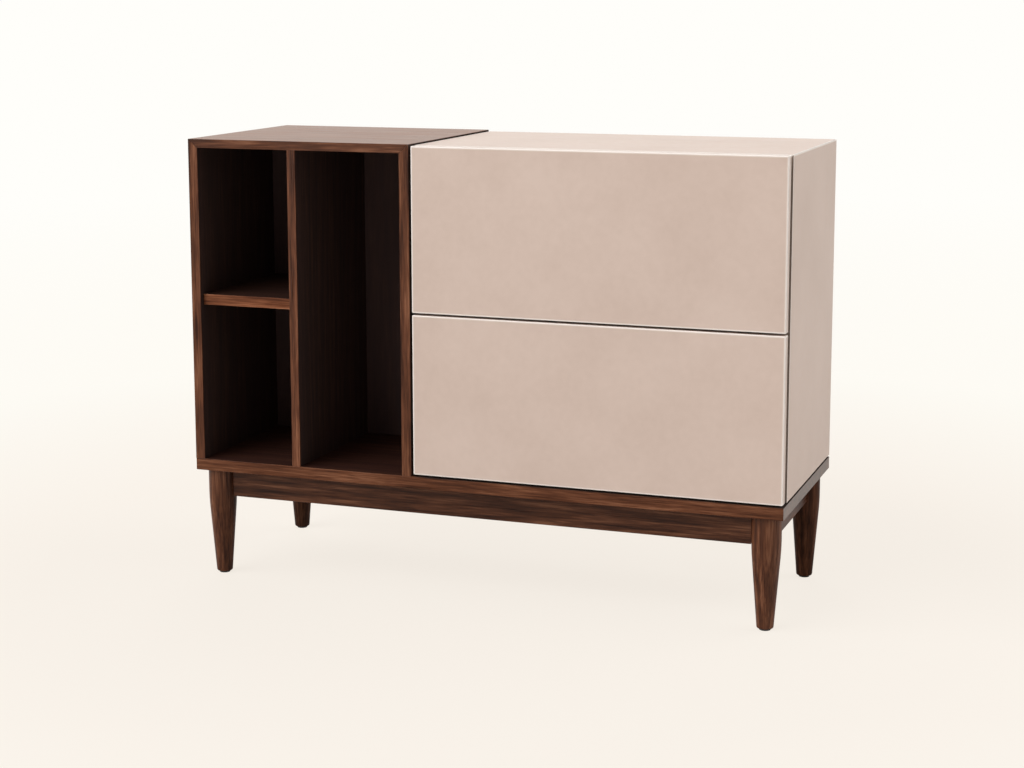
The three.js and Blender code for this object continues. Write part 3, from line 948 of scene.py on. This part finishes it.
def seen_directly(tree):
    """1 for rays from the camera, a mirror or through glass, else 0."""
    path = add_node(tree, "ShaderNodeLightPath").outputs
    seen = calculate(tree, "MAXIMUM", path["Is Camera Ray"], path["Is Glossy Ray"])
    return calculate(tree, "MAXIMUM", seen, path["Is Transmission Ray"])


def floor_material():
    """A pale floor that takes shadows, with a glow of its own that only the camera sees."""
    material = bpy.data.materials.new("studio_floor")
    material.use_nodes = True
    tree = material.node_tree
    tree.nodes.clear()
    place = add_node(tree, "ShaderNodeTexCoord").outputs["Object"]
    radius = add_node(tree, "ShaderNodeVectorMath", {0: place}, operation="LENGTH").outputs["Value"]
    colour = ramp(tree, remap(tree, radius, 0.0, FLOOR_SPAN, 0.0, 1.0), FLOOR_STOPS)
    glow_share = remap(tree, radius, GLOW_START, GLOW_END, FLOOR_GLOW, 1.0)
    path = add_node(tree, "ShaderNodeLightPath").outputs
    share = calculate(tree, "MULTIPLY", path["Is Camera Ray"], glow_share)
    cloth = add_node(tree, "ShaderNodeBsdfDiffuse", {"Color": (*FLOOR_ALBEDO, 1.0)}).outputs[0]
    glow = add_node(tree, "ShaderNodeEmission", {"Color": colour, "Strength": 1.0}).outputs[0]
    mixed = add_node(tree, "ShaderNodeMixShader", {0: share, 1: cloth, 2: glow}).outputs[0]
    add_node(tree, "ShaderNodeOutputMaterial", {"Surface": mixed})
    return material


def build_floor():
    shape = bmesh.new()
    bmesh.ops.create_circle(shape, cap_ends=True, radius=FLOOR_RADIUS, segments=FLOOR_SIDES)
    mesh = bpy.data.meshes.new("studio_floor")
    shape.to_mesh(mesh)
    shape.free()
    mesh.materials.append(floor_material())
    floor = bpy.data.objects.new("studio_floor", mesh)
    bpy.context.scene.collection.objects.link(floor)


def build_world():
    world = bpy.data.worlds.new("studio_world")
    bpy.context.scene.world = world
    world.use_nodes = True
    tree = world.node_tree
    strength = remap(tree, seen_directly(tree), 0.0, 1.0, AMBIENT, 1.0)
    background = tree.nodes["Background"]
    background.inputs["Color"].default_value = (*FLOOR_FAR, 1.0)
    feed(tree, background.inputs["Strength"], strength)


def softbox(name, azimuth, elevation, size, level):
    """A square soft light aimed at the credenza. Level 1 lights a facing surface fully."""
    lamp = bpy.data.lights.new(name, "AREA")
    lamp.shape = "SQUARE"
    lamp.size = size
    lamp.energy = level * (math.pi * LIGHT_DISTANCE) ** 2
    turn = math.radians(azimuth)
    rise = math.radians(elevation)
    out = Vector((math.sin(turn) * math.cos(rise), -math.cos(turn) * math.cos(rise), math.sin(rise)))
    light = bpy.data.objects.new(name, lamp)
    light.matrix_world = standing_on(LIGHT_AIM + LIGHT_DISTANCE * out, out)
    bpy.context.scene.collection.objects.link(light)


def build_lights():
    softbox("key_softbox", azimuth=-42, elevation=33, size=24.0, level=1.27)
    softbox("side_softbox", azimuth=116, elevation=29, size=28.0, level=0.86)
    softbox("rear_softbox", azimuth=200, elevation=50, size=14.0, level=0.25)


def build_camera():
    ahead = Vector((
        -math.sin(CAMERA_YAW) * math.cos(CAMERA_PITCH),
        math.cos(CAMERA_YAW) * math.cos(CAMERA_PITCH),
        -math.sin(CAMERA_PITCH),
    ))
    level_right = Vector((math.cos(CAMERA_YAW), math.sin(CAMERA_YAW), 0))
    level_up = level_right.cross(ahead)
    right = level_right * math.cos(CAMERA_ROLL) + level_up * math.sin(CAMERA_ROLL)
    up = level_up * math.cos(CAMERA_ROLL) - level_right * math.sin(CAMERA_ROLL)
    lens = bpy.data.cameras.new("photo_camera")
    lens.sensor_width = SENSOR_WIDTH
    lens.lens = FOCAL_PIXELS * SENSOR_WIDTH / IMAGE_WIDTH
    lens.shift_y = SHIFT_PIXELS / IMAGE_WIDTH
    camera = bpy.data.objects.new("photo_camera", lens)
    turn = Matrix((right, up, -ahead)).transposed().to_4x4()
    camera.matrix_world = Matrix.Translation(CAMERA_PLACE) @ turn
    bpy.context.scene.collection.objects.link(camera)
    bpy.context.scene.camera = camera


build_floor()
build_world()
build_lights()
build_camera()
bpy.context.scene.view_settings.view_transform = "Standard"
